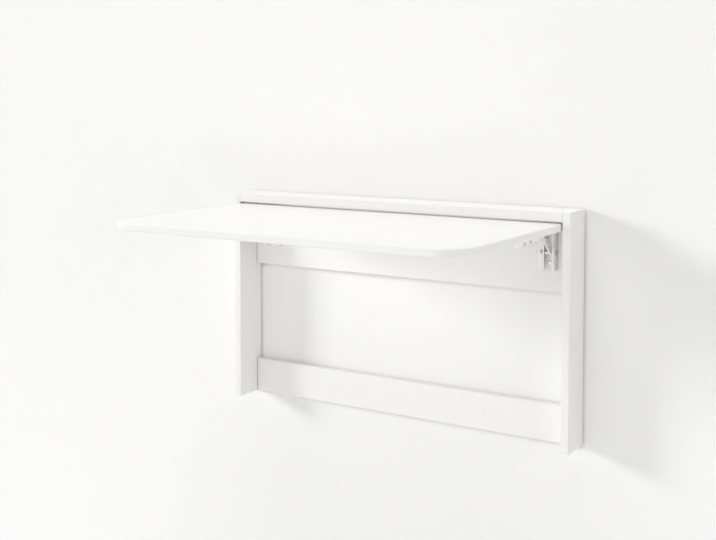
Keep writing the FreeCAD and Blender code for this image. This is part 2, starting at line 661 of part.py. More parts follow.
def slide_spacers():
    """Sleeves on the slide pin, clear of the lock lever's plate."""
    return spacer_pair(LEVER_RIGHT_X + MOVING_GAP, ARM_RIGHT_X - STEEL - MOVING_GAP, SLIDE_OUT,
                       SLIDE_HEIGHT, SLIDE_SPACER_RADIUS, SLIDE_PIN_RADIUS, 0)


def arm_outline():
    """Side outline of the arm, as (out, height): rounded at the rear, tapered at the nose."""
    return [
        (ARM_REAR_OUT, LEAF_UNDERSIDE),
        (ARM_REAR_OUT, ARM_BOTTOM),
        (ARM_FRONT_OUT - ARM_NOSE_LENGTH, ARM_BOTTOM),
        (ARM_FRONT_OUT, LEAF_UNDERSIDE - ARM_NOSE_HEIGHT),
        (ARM_FRONT_OUT, LEAF_UNDERSIDE),
    ]


def guide_window(x0, x1):
    """Three-cornered window in the arm's flanges, with a seat for the slide pin in each corner."""
    seats = [slide_pin_seat(fold) for fold in (0, pi / 2, pi / 4)]
    radius = SLIDE_PIN_RADIUS + MOVING_GAP
    return hull_of_circles(list(reversed(seats)), [radius] * 3, x0, x1)


def bracket_arm():
    """Inverted channel: guide windows at the rear, a tooling hole, then the bores of two rivets."""
    along = V(0, 1, 0)
    shell = rounded_box(ARM_LEFT_X, ARM_RIGHT_X, ARM_REAR_OUT, ARM_FRONT_OUT, ARM_BOTTOM - ARM_DEPTH,
                        LEAF_UNDERSIDE, BEND_RADIUS, along)
    hollow = rounded_box(ARM_LEFT_X + STEEL, ARM_RIGHT_X - STEEL, ARM_REAR_OUT, ARM_FRONT_OUT,
                         ARM_BOTTOM - ARM_DEPTH, WEB_UNDERSIDE, BEND_RADIUS - STEEL, along)
    outline = plate_x(arm_outline(), ARM_LEFT_X, ARM_RIGHT_X, 0)
    bottom_corners = []
    for edge in edges_along(outline, V(1, 0, 0)):
        place = edge.Vertexes[0].Point
        if place.z < ARM_BOTTOM + 1e-6:
            bottom_corners.append(edge)
    outline = outline.makeFillet(ARM_REAR_RADIUS, bottom_corners)
    channel = shell.cut(hollow).common(outline)
    cuts = [
        box(ARM_LEFT_X + STEEL, ARM_RIGHT_X - STEEL, ARM_REAR_OUT, ARM_REAR_OUT + ARM_WEB_START,
            WEB_UNDERSIDE - STEEL, LEAF_UNDERSIDE),
        guide_window(ARM_LEFT_X, ARM_RIGHT_X),
        rod_x(ARM_LEFT_X, ARM_RIGHT_X, LEVER_PIVOT_OUT, LEVER_PIVOT_HEIGHT, LEVER_PIVOT_RADIUS),
        rod_x(ARM_LEFT_X, ARM_RIGHT_X, TIE_RIVET_OUT, TIE_RIVET_HEIGHT, TIE_RIVET_RADIUS),
        rod_x(ARM_LEFT_X, ARM_RIGHT_X, ARM_REAR_OUT + ARM_HOLE_FROM_REAR, LEAF_UNDERSIDE - ARM_HOLE_DROP,
              ARM_HOLE_RADIUS),
    ]
    for out in arm_screw_places():
        cuts.append(rod_up(arm_screw_x(), out, WEB_UNDERSIDE, LEAF_UNDERSIDE,
                           SCREW_SHANK_RADIUS + SCREW_CLEARANCE))
    return cut_all(channel, cuts)


# ---------------------------------------------------------------- lock lever, right hand

def rivet_head(x, direction, out, height):
    """Rivet head with a sloped rim that stands on a face square to X."""
    start = V(x, -out, height)
    head = Part.makeCylinder(RIVET_HEAD_RADIUS, RIVET_HEAD_THICKNESS, start, V(direction, 0, 0))
    face_x = x + direction * RIVET_HEAD_THICKNESS
    rim = [edge for edge in head.Edges if edge.Closed and abs(edge.BoundBox.XMin - face_x) < 1e-6]
    return head.makeChamfer(RIVET_HEAD_SLOPE, rim)


def lever_pivot():
    """Rivet across the arm with a collar on each side of the lever."""
    shank = rod_x(ARM_LEFT_X, ARM_RIGHT_X, LEVER_PIVOT_OUT, LEVER_PIVOT_HEIGHT, LEVER_PIVOT_RADIUS)
    pieces = [
        rivet_head(ARM_LEFT_X, -1, LEVER_PIVOT_OUT, LEVER_PIVOT_HEIGHT),
        rivet_head(ARM_RIGHT_X, 1, LEVER_PIVOT_OUT, LEVER_PIVOT_HEIGHT),
    ]
    for edge_x, side in ((LEVER_LEFT_X - MOVING_GAP, -1), (LEVER_RIGHT_X + MOVING_GAP, 1)):
        x0, x1 = sorted((edge_x, edge_x + side * LEVER_COLLAR_THICKNESS))
        pieces.append(rod_x(x0, x1, LEVER_PIVOT_OUT, LEVER_PIVOT_HEIGHT, LEVER_COLLAR_RADIUS))
    return shank.fuse(pieces).removeSplitter()


def tie_rivet():
    """Shouldered rivet that keeps the arm's flanges apart forward of the lever's pivot."""
    shank = rod_x(ARM_LEFT_X, ARM_RIGHT_X, TIE_RIVET_OUT, TIE_RIVET_HEIGHT, TIE_RIVET_RADIUS)
    shoulder = rod_x(ARM_LEFT_X + STEEL, ARM_RIGHT_X - STEEL, TIE_RIVET_OUT, TIE_RIVET_HEIGHT,
                     TIE_SHOULDER_RADIUS)
    heads = [
        rivet_head(ARM_LEFT_X, -1, TIE_RIVET_OUT, TIE_RIVET_HEIGHT),
        rivet_head(ARM_RIGHT_X, 1, TIE_RIVET_OUT, TIE_RIVET_HEIGHT),
    ]
    return shank.fuse([shoulder] + heads).removeSplitter()


def lock_lever():
    """Lever with an upturned nose by the slide pin's window and a thumb tab between the flanges."""
    nose_out = slide_pin_seat(pi / 2)[0] + SLIDE_PIN_RADIUS + LEVER_NOSE_GAP
    rear_low = LEVER_PIVOT_HEIGHT - LEVER_BAR_HEIGHT / 2
    rear_top = LEVER_PIVOT_HEIGHT + LEVER_BAR_HEIGHT / 2
    tab_out = LEVER_PIVOT_OUT + LEVER_REACH - LEVER_TAB_LENGTH
    points = [
        (nose_out, rear_low),
        (nose_out, rear_low + LEVER_NOSE_HEIGHT),
        (nose_out + LEVER_NOSE_FLAT, rear_low + LEVER_NOSE_HEIGHT),
        (nose_out + LEVER_NOSE_LENGTH, rear_top),
        (LEVER_PIVOT_OUT, rear_top),
        (LEVER_PIVOT_OUT + LEVER_CRANK_TOP, LEVER_FRONT_BAR_TOP),
        (tab_out + LEVER_TAB_LENGTH, LEVER_FRONT_BAR_TOP),
        (tab_out + LEVER_TAB_LENGTH, LEVER_FRONT_BAR_TOP - LEVER_TAB_HEIGHT),
        (tab_out, LEVER_FRONT_BAR_TOP - LEVER_TAB_HEIGHT),
        (tab_out, LEVER_FRONT_BAR_LOW),
        (LEVER_PIVOT_OUT + LEVER_CRANK_LOW, LEVER_FRONT_BAR_LOW),
        (LEVER_PIVOT_OUT, rear_low),
    ]
    plate = plate_x(points, LEVER_LEFT_X, LEVER_RIGHT_X, LEVER_CORNER_RADIUS)
    boss = rod_x(LEVER_LEFT_X, LEVER_RIGHT_X, LEVER_PIVOT_OUT, LEVER_PIVOT_HEIGHT, LEVER_BOSS_RADIUS)
    bore = rod_x(LEVER_LEFT_X, LEVER_RIGHT_X, LEVER_PIVOT_OUT, LEVER_PIVOT_HEIGHT,
                 LEVER_PIVOT_RADIUS + RUNNING_CLEARANCE)
    return plate.fuse(boss).removeSplitter().cut(bore)


def lever_spring():
    """Bow spring: a thin strip with two feet on the arm's web, bowed down onto the lever."""
    x0 = (LEVER_LEFT_X + LEVER_RIGHT_X - SPRING_WIDTH) / 2
    mid_out = LEVER_PIVOT_OUT + SPRING_FORWARD
    ends = (mid_out - SPRING_SPAN / 2, mid_out + SPRING_SPAN / 2)
    knees = (ends[0] + SPRING_FOOT, ends[1] - SPRING_FOOT)
    low = LEVER_FRONT_BAR_TOP

    def at(out, height):
        return V(x0, -out, height)

    top, under = WEB_UNDERSIDE, WEB_UNDERSIDE - SPRING_THICKNESS
    upper_bow = Part.Arc(at(knees[0], top), at(mid_out, low + SPRING_THICKNESS), at(knees[1], top))
    lower_bow = Part.Arc(at(knees[1], under), at(mid_out, low), at(knees[0], under))
    edges = [
        Part.LineSegment(at(ends[0], top), at(knees[0], top)).toShape(),
        upper_bow.toShape(),
        Part.LineSegment(at(knees[1], top), at(ends[1], top)).toShape(),
        Part.LineSegment(at(ends[1], top), at(ends[1], under)).toShape(),
        Part.LineSegment(at(ends[1], under), at(knees[1], under)).toShape(),
        lower_bow.toShape(),
        Part.LineSegment(at(knees[0], under), at(ends[0], under)).toShape(),
        Part.LineSegment(at(ends[0], under), at(ends[0], top)).toShape(),
    ]
    return Part.Face(Part.Wire(edges)).extrude(V(SPRING_WIDTH, 0, 0))


# ---------------------------------------------------------------- nodes

def frame_nodes():
    """Boards of the frame and the fittings that join them."""
    stiles = both_sides(right_stile())
    dowels = [end_dowel(out, height) for out, height in END_DOWELS]
    shelf_dowels = [top_dowel(x) for x in (-TOP_DOWEL_SPACING, 0, TOP_DOWEL_SPACING)]
    cams = [cam_lock(out, height, height > RAIL_TOP) for out, height in END_BOLTS]
    return {
        "left_stile": stiles["left"],
        "right_stile": stiles["right"],
        "top_board": top_board(),
        "upper_rail": upper_rail(),
        "bottom_rail": bottom_rail(),
        "end_dowels": both_in_one(dowels),
        "top_board_dowels": Part.makeCompound(shelf_dowels),
        "cam_locks": both_in_one(cams),
        "cam_bolts": both_in_one([cam_bolt(out, height) for out, height in END_BOLTS]),
        "pivot_pins": both_in_one([pivot_pin()]),
    }


def leaf_nodes():
    """The leaf with its bushes."""
    return {"leaf": leaf(), "pivot_bushes": both_in_one([pivot_bush()])}


def bracket_nodes():
    """Both folding brackets, one piece to a node, and the screws that hold them."""
    makers = {
        "bracket_leg": bracket_leg,
        "foot_pin": foot_pin,
        "foot_spacers": foot_spacers,
        "strut": strut,
        "slide_pin": slide_pin,
        "slide_spacers": slide_spacers,
        "bracket_arm": bracket_arm,
        "tie_rivet": tie_rivet,
        "lever_pivot": lever_pivot,
        "lock_lever": lock_lever,
        "lever_spring": lever_spring,
    }
    nodes = {}
    for name, make in makers.items():
        for side, piece in both_sides(make()).items():
            nodes[side + "_" + name] = piece
    leg_screws = []
    for height in leg_screw_heights():
        leg_screws.append(wood_screw_in(LEG_OPENING_X, height, LEG_BACK_OUT + STEEL))
    arm_screws = []
    for out in arm_screw_places():
        screw = wood_screw_in(arm_screw_x(), WEB_UNDERSIDE, out)
        arm_screws.append(turned_up(screw, arm_screw_x(), out, WEB_UNDERSIDE))
    nodes["leg_screws"] = both_in_one(leg_screws)
    nodes["arm_screws"] = both_in_one(arm_screws)
    return nodes


def main():
    """Write one STEP file for each node."""
    os.makedirs("parts", exist_ok=True)
    nodes = {**frame_nodes(), **leaf_nodes(), **bracket_nodes()}
    for name, shape in nodes.items():
        shape.translate(V(0, 0, -ORIGIN_HEIGHT))
        shape.exportStep(os.path.join("parts", name + ".step"))
        print(f"{name}: {len(shape.Solids)} solid(s), valid {shape.isValid()}")
    swing = degrees(STRUT_FOLDED_ANGLE - STRUT_OPEN_ANGLE)
    print(f"strut turns {swing:.3f} degrees while the leaf turns 90, ratio {swing / 90:.5f}")


main()
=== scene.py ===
import json
from math import atan2, cos, pi, radians, sin

import bmesh
import bpy
from mathutils import Matrix, Vector


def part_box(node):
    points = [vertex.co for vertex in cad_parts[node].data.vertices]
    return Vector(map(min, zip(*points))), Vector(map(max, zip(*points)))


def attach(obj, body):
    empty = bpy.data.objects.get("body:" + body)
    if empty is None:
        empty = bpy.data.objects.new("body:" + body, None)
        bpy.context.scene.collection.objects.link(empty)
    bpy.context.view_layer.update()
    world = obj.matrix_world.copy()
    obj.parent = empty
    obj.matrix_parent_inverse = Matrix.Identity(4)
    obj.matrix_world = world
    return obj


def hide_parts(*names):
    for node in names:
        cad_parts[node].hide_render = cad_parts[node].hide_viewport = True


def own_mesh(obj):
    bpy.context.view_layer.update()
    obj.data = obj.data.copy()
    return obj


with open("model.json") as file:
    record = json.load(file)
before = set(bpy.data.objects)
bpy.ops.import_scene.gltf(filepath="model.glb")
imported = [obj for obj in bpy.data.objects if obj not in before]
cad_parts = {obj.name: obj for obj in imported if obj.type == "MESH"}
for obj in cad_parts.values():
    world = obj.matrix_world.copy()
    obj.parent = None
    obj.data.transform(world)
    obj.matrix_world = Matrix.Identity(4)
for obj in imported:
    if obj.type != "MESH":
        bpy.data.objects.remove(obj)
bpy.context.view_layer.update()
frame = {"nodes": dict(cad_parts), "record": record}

# Wall-mounted fold-down writing desk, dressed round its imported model.
# Metres. X runs along the wall, Y into it and Z up; the wall is the plane y = 0.
# The origin lies in the wall midway between the four wall screws.

MM = 0.001

# Screws: a pan head with a cross recess on a threaded shank
SCREW_GRIP = 13 * MM
SCREW_HEAD_HEIGHT = 2.4 * MM
SCREW_HEAD_RADIUS = 3.9 * MM
SCREW_SHANK_RADIUS = 2.0 * MM
SCREW_CORE_RADIUS = 1.45 * MM
SCREW_PITCH = 1.8 * MM
SCREW_TIP = 3 * MM
SCREW_NECK = 2.2 * MM
SCREW_NECK_RADIUS = 1.8 * MM
SCREW_RUN_OUT = 2.5 * MM
SCREW_HEAD_RIM = 0.35 * MM
SCREW_SHOULDER = 1.5 * MM
RECESS_REACH = 2.1 * MM
RECESS_WIDTH = 0.85 * MM
RECESS_DEPTH = 1.5 * MM

# Cover caps over the wall screws
CAP_RADIUS = 6.95 * MM
CAP_CROWN = 0.1 * MM
CAP_EDGE = 0.25 * MM
CAP_THICKNESS = 1.55 * MM
CAP_SEAT_OUT = 14.4 * MM
CAP_NOTCH_WIDTH = 1.6 * MM
CAP_NOTCH_DEPTH = 0.5 * MM
WALL_HOLE_X = 203.2 * MM
UPPER_HOLE_Z = 183.75 * MM
LOWER_HOLE_Z = -183.75 * MM

# Dowels
DOWEL_FLUTES = 12
FLUTE_DEPTH = 0.35 * MM
DOWEL_CHAMFER = 1.0 * MM

# Cam bolts, measured from the head's free end towards the stile
BOLT_HEAD_RADIUS = 3.6 * MM
BOLT_HEAD_LENGTH = 3.0 * MM
BOLT_NECK_RADIUS = 2.5 * MM
BOLT_THREAD_RADIUS = 3.0 * MM
BOLT_THREAD_CORE = 2.3 * MM
BOLT_THREAD_LENGTH = 10.0 * MM
BOLT_PITCH = 2.0 * MM
BOLT_CHAMFER = 0.6 * MM
BOLT_CHAMFER_RISE = 0.5 * MM
BOLT_COLLAR = 1.0 * MM
BOLT_COLLAR_BACK = 1.2 * MM

# Screw threads and shading of round forms
THREAD_STEPS = 8
SHARP_ANGLE = 35

# Pins and rivets of the folding brackets
PIN_HEAD = 1.5 * MM
FOOT_PIN_RADIUS = 3.0 * MM
SLIDE_PIN_RADIUS = 2.5 * MM
PIVOT_PIN_NOSE = 0.5 * MM
RIVET_HEAD = 1.4 * MM
LEVER_PIVOT_RADIUS = 2.5 * MM
LEVER_COLLAR_RADIUS = 4.0 * MM
LEVER_COLLAR = 1.8 * MM
TIE_RIVET_RADIUS = 2.0 * MM
TIE_SHOULDER_RADIUS = 2.6 * MM
FLANGE = 2.0 * MM
MOVING_GAP = 0.3 * MM

# Painted shade in corners and along joints: on the boards, and on the wall between and beside the
# stiles
PAINTED_SHADE_COLOUR = (0.50, 0.48, 0.45, 1)
BOARD_PAINTED_SHADE = 0.7
BOARD_PAINTED_SHADE_REACH = 5 * MM
WALL_SHADE_REACH = 14 * MM
WALL_SHADE_OPEN = 0.35
WALL_SHADE_BY_STILE = 0.95

# Bow springs over the lock levers
SPRING_THICKNESS = 0.5 * MM
SPRING_FOOT = 3.0 * MM
SPRING_STEPS = 24

# Room
FLOOR_DROP = 1.15
ROOM_REACH = 3.4
ROOM_RISE = 2.4
WALL_CLEARANCE = 2.0 * MM
WALL_COLOUR = (0.90, 0.897, 0.885, 1)
FLOOR_COLOUR = (0.86, 0.86, 0.855, 1)

# Lamps: name, place, point aimed at, width and watts
LAMPS = (
    ("window light", (-7.0, -3.5, 2.05), (0, 0, 0), 1.7, 305),
    ("top light", (0.1, -0.75, 2.9), (0, -0.3, 0), 1.6, 34),
    ("front fill", (1.0, -3.8, -0.5), (0.1, 0, 0), 2.4, 37),
    ("left fill", (-1.6, -3.8, -0.3), (0.1, 0, 0), 2.4, 19),
    ("side fill", (2.5, -0.9, 0.3), (0.2, 0, 0), 1.2, 9.5),
    ("rear fill", (-0.3, 3.0, 0.1), (0, 0, 0), 1.6, 14),
)
DAYLIGHT = 0.25
BACKGROUND = 0.93

# Camera: turn and dip in degrees, lens and sensor in millimetres
CAMERA_PLACE = (1.1329, -2.0121, 0.4608)
CAMERA_TURN = 31.878
CAMERA_DIP = 3.110
CAMERA_LENS = 54.583
CAMERA_SENSOR = 36
CAMERA_SHIFT = -0.16


# ---------------------------------------------------------------- shader helpers

def add(tree, kind, inputs=(), **settings):
    """New shader node. Each input is a value, or another node's output to be joined to it."""
    made = tree.nodes.new(kind)
    for name, value in settings.items():
        setattr(made, name, value)
    for socket, value in dict(inputs).items():
        if isinstance(value, bpy.types.NodeSocket):
            tree.links.new(value, made.inputs[socket])
        else:
            made.inputs[socket].default_value = value
    return made


def new_group(name, inputs, outputs):
    """Empty shader group with named sockets, and its two ends."""
    group = bpy.data.node_groups.new(name, "ShaderNodeTree")
    for label, kind in inputs:
        group.interface.new_socket(label, in_out="INPUT", socket_type="NodeSocket" + kind)
    for label, kind in outputs:
        group.interface.new_socket(label, in_out="OUTPUT", socket_type="NodeSocket" + kind)
    given = group.nodes.new("NodeGroupInput").outputs
    return group, given, group.nodes.new("NodeGroupOutput").inputs


def place(tree, group, **inputs):
    """A shader group set into a material. Underscores in the names stand for spaces."""
    values = {name.replace("_", " "): value for name, value in inputs.items()}
    return add(tree, "ShaderNodeGroup", values, node_tree=group)


def noise(tree, coords, scale, detail=2.0, roughness=0.5):
    """Value of a noise field, about 0.5 on average."""
    inputs = {"Vector": coords, "Scale": scale, "Detail": detail, "Roughness": roughness}
    return add(tree, "ShaderNodeTexNoise", inputs).outputs["Fac"]


def maths(tree, operation, first, second=0.0, clamp=False):
    """Result of one sum."""
    inputs = {0: first, 1: second}
    return add(tree, "ShaderNodeMath", inputs, operation=operation, use_clamp=clamp).outputs[0]


def remap(tree, value, low, high, to_low=0.0, to_high=1.0):
    """Value carried from one span to another, held inside it."""
    inputs = {"Value": value, "From Min": low, "From Max": high, "To Min": to_low, "To Max": to_high}
    return add(tree, "ShaderNodeMapRange", inputs).outputs["Result"]


def mix_colours(tree, share, first, second):
    """Two colours mixed; a share of 1 is all of the second."""
    inputs = {0: share, 6: first, 7: second}
    return add(tree, "ShaderNodeMix", inputs, data_type="RGBA").outputs[2]


def object_coords(tree):
    """Place on the piece, in its own axes."""
    return tree.nodes.new("ShaderNodeTexCoord").outputs["Object"]


# ---------------------------------------------------------------- shared effects

def make_edge_wear():
    """Mask of rubbed outer edges, broken up along their length."""
    tree, given, out = new_group(
        "edge wear", [("Width", "Float"), ("Patch Scale", "Float"), ("Amount", "Float")],
        [("Mask", "Float")])
    inner = add(tree, "ShaderNodeAmbientOcclusion", {"Distance": given["Width"]},
                inside=True, only_local=True, samples=6)
    edge = remap(tree, maths(tree, "SUBTRACT", 1.0, inner.outputs["AO"]), 0.12, 0.5)
    patches = noise(tree, object_coords(tree), given["Patch Scale"], 3.0)
    broken = maths(tree, "MULTIPLY", edge, remap(tree, patches, 0.38, 0.62))
    tree.links.new(maths(tree, "MULTIPLY", broken, given["Amount"], clamp=True), out["Mask"])
    return tree


def make_painted_corner_shade():
    """Mask of painted shade in corners and along joints, from how closed in each point is."""
    tree, given, out = new_group(
        "painted corner shade", [("Reach", "Float"), ("Amount", "Float"), ("Normal", "Vector")],
        [("Mask", "Float")])
    inputs = {"Distance": given["Reach"], "Normal": given["Normal"]}
    # Painted shade: ambient occlusion turned into a darkening mask.
    around = add(tree, "ShaderNodeAmbientOcclusion", inputs, samples=8)
    corner = remap(tree, around.outputs["AO"], 0.85, 0.45)
    tree.links.new(maths(tree, "MULTIPLY", corner, given["Amount"], clamp=True), out["Mask"])
    return tree


def make_eased_edges():
    """Surface normal rounded over at the edges."""
    tree, given, out = new_group("eased edges", [("Radius", "Float")], [("Normal", "Vector")])
    bevel = add(tree, "ShaderNodeBevel", {"Radius": given["Radius"]}, samples=6)
    tree.links.new(bevel.outputs["Normal"], out["Normal"])
    return tree


def make_tone_drift():
    """A colour that wanders slightly over the surface, broadly and in small patches."""
    tree, given, out = new_group(
        "tone drift", [("Color", "Color"), ("Broad Scale", "Float"), ("Patch Scale", "Float"),
                       ("Amount", "Float")], [("Color", "Color")])
    coords = object_coords(tree)
    broad = noise(tree, coords, given["Broad Scale"], 2.0)
    patch = noise(tree, coords, given["Patch Scale"], 4.0)
    drift = maths(tree, "SUBTRACT", maths(tree, "ADD", broad, patch), 1.0)
    gain = maths(tree, "ADD", maths(tree, "MULTIPLY", drift, given["Amount"]), 1.0)
    shade = add(tree, "ShaderNodeVectorMath", {0: given["Color"], "Scale": gain}, operation="SCALE")
    tree.links.new(shade.outputs[0], out["Color"])
    return tree


def make_skin_relief():
    """Height of a fine surface texture: soft pebbles with a finer grain over them."""
    tree, given, out = new_group(
        "skin relief", [("Pebble Scale", "Float"), ("Grain Scale", "Float"), ("Grain Share", "Float")],
        [("Height", "Float")])
    coords = object_coords(tree)
    pebbles = noise(tree, coords, given["Pebble Scale"], 1.0, 0.4)
    grain = noise(tree, coords, given["Grain Scale"], 3.0, 0.6)
    mixed = add(tree, "ShaderNodeMix", {0: given["Grain Share"], 2: pebbles, 3: grain})
    tree.links.new(mixed.outputs[0], out["Height"])
    return tree


def make_handling():
    """Roughness that wanders with handling: polished patches and faint dry ones."""
    tree, given, out = new_group(
        "handling", [("Roughness", "Float"), ("Spread", "Float"), ("Patch Scale", "Float")],
        [("Roughness", "Float")])
    coords = object_coords(tree)
    patch = noise(tree, coords, given["Patch Scale"], 4.0, 0.55)
    fine = noise(tree, coords, maths(tree, "MULTIPLY", given["Patch Scale"], 9.0), 2.0)
    both = maths(tree, "ADD", patch, maths(tree, "MULTIPLY", fine, 0.4))
    drift = maths(tree, "MULTIPLY", maths(tree, "SUBTRACT", both, 0.7), given["Spread"])
    tree.links.new(maths(tree, "ADD", given["Roughness"], drift, clamp=True), out["Roughness"])
    return tree


def make_turning():
    """Height of the fine rings that a lathe leaves round the local X axis."""
    tree, given, out = new_group(
        "turning marks", [("Ring Scale", "Float"), ("Wobble", "Float")], [("Height", "Float")])
    coords = object_coords(tree)
    parts = add(tree, "ShaderNodeSeparateXYZ", {"Vector": coords}).outputs
    square_y = maths(tree, "POWER", parts["Y"], 2.0)
    square_z = maths(tree, "POWER", parts["Z"], 2.0)
    radius = maths(tree, "SQRT", maths(tree, "ADD", square_y, square_z))
    along = maths(tree, "ADD", radius, parts["X"])
    wander = maths(tree, "MULTIPLY", noise(tree, coords, 400.0, 2.0), given["Wobble"])
    phase = maths(tree, "ADD", maths(tree, "MULTIPLY", along, given["Ring Scale"]), wander)
    tree.links.new(remap(tree, maths(tree, "SINE", phase), -1.0, 1.0), out["Height"])
    return tree


EDGE_WEAR = make_edge_wear()
PAINTED_CORNER_SHADE = make_painted_corner_shade()
EASED_EDGES = make_eased_edges()
TONE_DRIFT = make_tone_drift()
SKIN_RELIEF = make_skin_relief()
HANDLING = make_handling()
TURNING = make_turning()


# ---------------------------------------------------------------- finishes

def new_material(name):
    """Material with one bare Principled shader, joined to its output."""
    material = bpy.data.materials.new(name)
    material.use_nodes = True
    tree = material.node_tree
    tree.nodes.clear()
    shader = tree.nodes.new("ShaderNodeBsdfPrincipled")
    end = tree.nodes.new("ShaderNodeOutputMaterial")
    tree.links.new(shader.outputs["BSDF"], end.inputs["Surface"])
    return material, tree, shader


def coat_edges(tree, shader, colour, worn, width, patch_scale, amount):
    """Base colour that gives way to the worn colour along the edges. Returns the mask."""
    mask = place(tree, EDGE_WEAR, Width=width, Patch_Scale=patch_scale, Amount=amount).outputs["Mask"]
    tree.links.new(mix_colours(tree, mask, colour, worn), shader.inputs["Base Color"])
    return mask


def set_relief(tree, shader, height, depth, radius, strength=1.0):
    """Bump of a given depth over edges that are rounded by a given radius."""
    eased = place(tree, EASED_EDGES, Radius=radius).outputs["Normal"]
    inputs = {"Height": height, "Distance": depth, "Strength": strength, "Normal": eased}
    bump = add(tree, "ShaderNodeBump", inputs)
    tree.links.new(bump.outputs["Normal"], shader.inputs["Normal"])


def lacquer(name, colour, roughness, peel_depth):
    """Sprayed satin lacquer on board: faint orange peel, thin at the edges, painted shade in the
    corners.

    Faces that look up or to the wall get no painted shade.
    """
    material, tree, shader = new_material(name)
    drift = place(tree, TONE_DRIFT, Color=colour, Broad_Scale=2.2, Patch_Scale=26.0, Amount=0.018)
    facing = tree.nodes.new("ShaderNodeNewGeometry").outputs["Normal"]
    ways = add(tree, "ShaderNodeSeparateXYZ", {"Vector": facing}).outputs
    facing_up_or_back = maths(tree, "MAXIMUM", ways["Y"], ways["Z"])
    board_shade_amount = remap(tree, facing_up_or_back, 0.4, 0.9, BOARD_PAINTED_SHADE, 0.0)
    # Painted shade: corners and joints darkened towards grey, less on faces that look up or to the
    # wall.
    painted_shade = place(tree, PAINTED_CORNER_SHADE, Reach=BOARD_PAINTED_SHADE_REACH, Amount=board_shade_amount, Normal=facing)
    shaded_colour = mix_colours(tree, painted_shade.outputs["Mask"], drift.outputs["Color"], PAINTED_SHADE_COLOUR)
    worn = (colour[0] * 0.80, colour[1] * 0.77, colour[2] * 0.70, 1)
    coat_edges(tree, shader, shaded_colour, worn, 0.9 * MM, 60.0, 0.28)
    wear = place(tree, HANDLING, Roughness=roughness, Spread=0.16, Patch_Scale=14.0)
    tree.links.new(wear.outputs["Roughness"], shader.inputs["Roughness"])
    peel = place(tree, SKIN_RELIEF, Pebble_Scale=420.0, Grain_Scale=2600.0, Grain_Share=0.2)
    set_relief(tree, shader, peel.outputs["Height"], peel_depth, 0.7 * MM)
    shader.inputs["Coat Weight"].default_value = 0.12
    shader.inputs["Coat Roughness"].default_value = 0.18
    shader.inputs["IOR"].default_value = 1.48
    return material


def powder_coat(name, colour):
    """Baked powder coat on folded steel, rubbed to grey metal at the edges."""
    material, tree, shader = new_material(name)
    drift = place(tree, TONE_DRIFT, Color=colour, Broad_Scale=30.0, Patch_Scale=240.0, Amount=0.05)
    bare = (0.42, 0.42, 0.43, 1)
    mask = coat_edges(tree, shader, drift.outputs["Color"], bare, 0.45 * MM, 420.0, 0.3)
    wear = place(tree, HANDLING, Roughness=0.46, Spread=0.2, Patch_Scale=90.0)
    tree.links.new(wear.outputs["Roughness"], shader.inputs["Roughness"])
    tree.links.new(maths(tree, "MULTIPLY", mask, 0.7), shader.inputs["Metallic"])
    grain = place(tree, SKIN_RELIEF, Pebble_Scale=1300.0, Grain_Scale=5200.0, Grain_Share=0.3)
    set_relief(tree, shader, grain.outputs["Height"], 0.05 * MM, 0.4 * MM, 0.8)
    return material


def steel(name, colour, roughness, edge_colour, ring_scale, relief):
    """Bare or plated steel with turning marks, brighter where it rubs."""
    material, tree, shader = new_material(name)
    drift = place(tree, TONE_DRIFT, Color=colour, Broad_Scale=60.0, Patch_Scale=500.0, Amount=0.16)
    coat_edges(tree, shader, drift.outputs["Color"], edge_colour, 0.35 * MM, 500.0, 0.8)
    wear = place(tree, HANDLING, Roughness=roughness, Spread=0.3, Patch_Scale=180.0)
    tree.links.new(wear.outputs["Roughness"], shader.inputs["Roughness"])
    rings = place(tree, TURNING, Ring_Scale=ring_scale, Wobble=1.5)
    set_relief(tree, shader, rings.outputs["Height"], relief, 0.25 * MM)
    shader.inputs["Metallic"].default_value = 1.0
    return material


def strip_steel(name):
    """Blue-grey tempered spring strip, rolled lengthwise."""
    material, tree, shader = new_material(name)
    coords = object_coords(tree)
    stretch = add(tree, "ShaderNodeMapping", {"Vector": coords, "Scale": (1.0, 0.03, 1.0)})
    lines = noise(tree, stretch.outputs["Vector"], 3600.0, 3.0)
    colour = place(tree, TONE_DRIFT, Color=(0.30, 0.31, 0.34, 1), Broad_Scale=90.0, Patch_Scale=500.0,
                   Amount=0.3)
    coat_edges(tree, shader, colour.outputs["Color"], (0.62, 0.62, 0.63, 1), 0.2 * MM, 600.0, 0.9)
    tree.links.new(remap(tree, lines, 0.3, 0.7, 0.24, 0.42), shader.inputs["Roughness"])
    set_relief(tree, shader, lines, 0.01 * MM, 0.15 * MM)
    shader.inputs["Metallic"].default_value = 1.0
    return material


def cast_zinc(name):
    """Die-cast zinc: dull, slightly mottled and pitted."""
    material, tree, shader = new_material(name)
    drift = place(tree, TONE_DRIFT, Color=(0.46, 0.46, 0.47, 1), Broad_Scale=120.0, Patch_Scale=700.0,
                  Amount=0.3)
    coat_edges(tree, shader, drift.outputs["Color"], (0.7, 0.7, 0.7, 1), 0.3 * MM, 700.0, 0.7)
    wear = place(tree, HANDLING, Roughness=0.5, Spread=0.3, Patch_Scale=300.0)
    tree.links.new(wear.outputs["Roughness"], shader.inputs["Roughness"])
    pits = place(tree, SKIN_RELIEF, Pebble_Scale=1100.0, Grain_Scale=4200.0, Grain_Share=0.5)
    set_relief(tree, shader, pits.outputs["Height"], 0.06 * MM, 0.25 * MM)
    shader.inputs["Metallic"].default_value = 1.0
    return material


